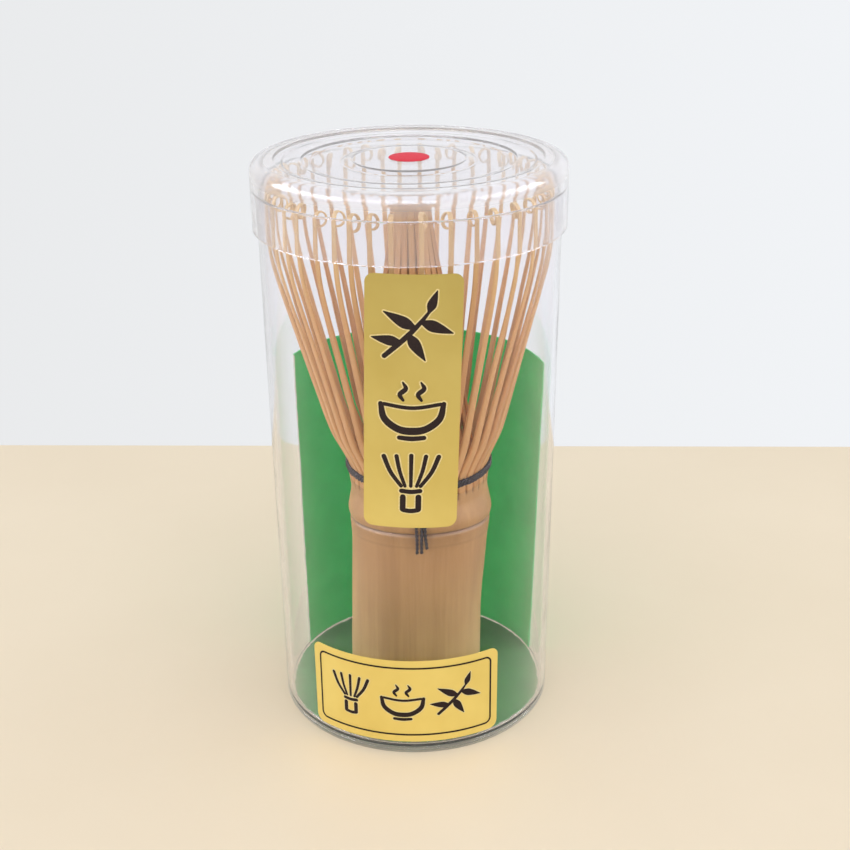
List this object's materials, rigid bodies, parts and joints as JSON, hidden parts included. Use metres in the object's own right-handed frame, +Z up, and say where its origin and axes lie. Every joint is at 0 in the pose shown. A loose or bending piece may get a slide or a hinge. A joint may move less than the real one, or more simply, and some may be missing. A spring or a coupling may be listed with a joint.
{
  "type": "bamboo tea whisk in clear case",
  "caption": "Bamboo tea whisk with curled split tines and a thread binding, standing in a clear round case with a push-on lid, green backing card and plain gold labels.",
  "frame": {"origin": "middle of the case's foot, on the surface that it stands on", "axes": "+Z up along the case's axis; -Y is the front, where the labels are; +X is to the right seen from the front"},
  "size_m": [0.068, 0.068, 0.1304],
  "materials": {
    "clear_plastic": "clear polished moulding",
    "gold_foil": "satin gold foil with dark print",
    "red_paper": "matt red sticker",
    "green_card": "matt fibrous card",
    "bamboo_culm": "smooth bamboo skin",
    "bamboo_tine": "split and shaved bamboo",
    "bamboo_inner": "split and shaved bamboo, darker pith side",
    "dark_thread": "waxed cotton thread"
  },
  "bodies": {
    "case": {"case_body": "clear_plastic", "tall_label": "gold_foil", "wide_label": "gold_foil", "green_base_disc": "green_card"},
    "card": {"green_card": "green_card"},
    "whisk": {"whisk_handle": "bamboo_culm", "binding_thread": "dark_thread", "thread_tails": "dark_thread", "inner_tines_rim": "bamboo_inner", "inner_tines_middle": "bamboo_inner", "inner_tines_core": "bamboo_inner", "outer_tine_01": "bamboo_tine", "outer_tine_02": "bamboo_tine", "outer_tine_03": "bamboo_tine", "outer_tine_04": "bamboo_tine", "outer_tine_05": "bamboo_tine", "outer_tine_06": "bamboo_tine", "outer_tine_07": "bamboo_tine", "outer_tine_08": "bamboo_tine", "outer_tine_09": "bamboo_tine", "outer_tine_10": "bamboo_tine", "outer_tine_11": "bamboo_tine", "outer_tine_12": "bamboo_tine", "outer_tine_13": "bamboo_tine", "outer_tine_14": "bamboo_tine", "outer_tine_15": "bamboo_tine", "outer_tine_16": "bamboo_tine", "outer_tine_17": "bamboo_tine", "outer_tine_18": "bamboo_tine", "outer_tine_19": "bamboo_tine", "outer_tine_20": "bamboo_tine", "outer_tine_21": "bamboo_tine", "outer_tine_22": "bamboo_tine", "outer_tine_23": "bamboo_tine", "outer_tine_24": "bamboo_tine", "outer_tine_25": "bamboo_tine", "outer_tine_26": "bamboo_tine", "outer_tine_27": "bamboo_tine", "outer_tine_28": "bamboo_tine", "outer_tine_29": "bamboo_tine", "outer_tine_30": "bamboo_tine", "outer_tine_31": "bamboo_tine", "outer_tine_32": "bamboo_tine", "outer_tine_33": "bamboo_tine", "outer_tine_34": "bamboo_tine", "outer_tine_35": "bamboo_tine", "outer_tine_36": "bamboo_tine", "outer_tine_37": "bamboo_tine", "outer_tine_38": "bamboo_tine", "outer_tine_39": "bamboo_tine", "outer_tine_40": "bamboo_tine", "outer_tine_41": "bamboo_tine", "outer_tine_42": "bamboo_tine", "outer_tine_43": "bamboo_tine", "outer_tine_44": "bamboo_tine"},
    "lid": {"case_lid": "clear_plastic", "red_dot_sticker": "red_paper"}
  },
  "joints": [
    {"name": "card_lift", "type": "slide", "parent": "case", "child": "card", "axis": [0, 0, 1], "range_m": [0, 0.13]},
    {"name": "whisk_lift", "type": "slide", "parent": "card", "child": "whisk", "axis": [0, 0, 1], "range_m": [0, 0.14]},
    {"name": "lid_lift", "type": "slide", "parent": "whisk", "child": "lid", "axis": [0, 0, 1], "range_m": [0, 0.06]}
  ]
}
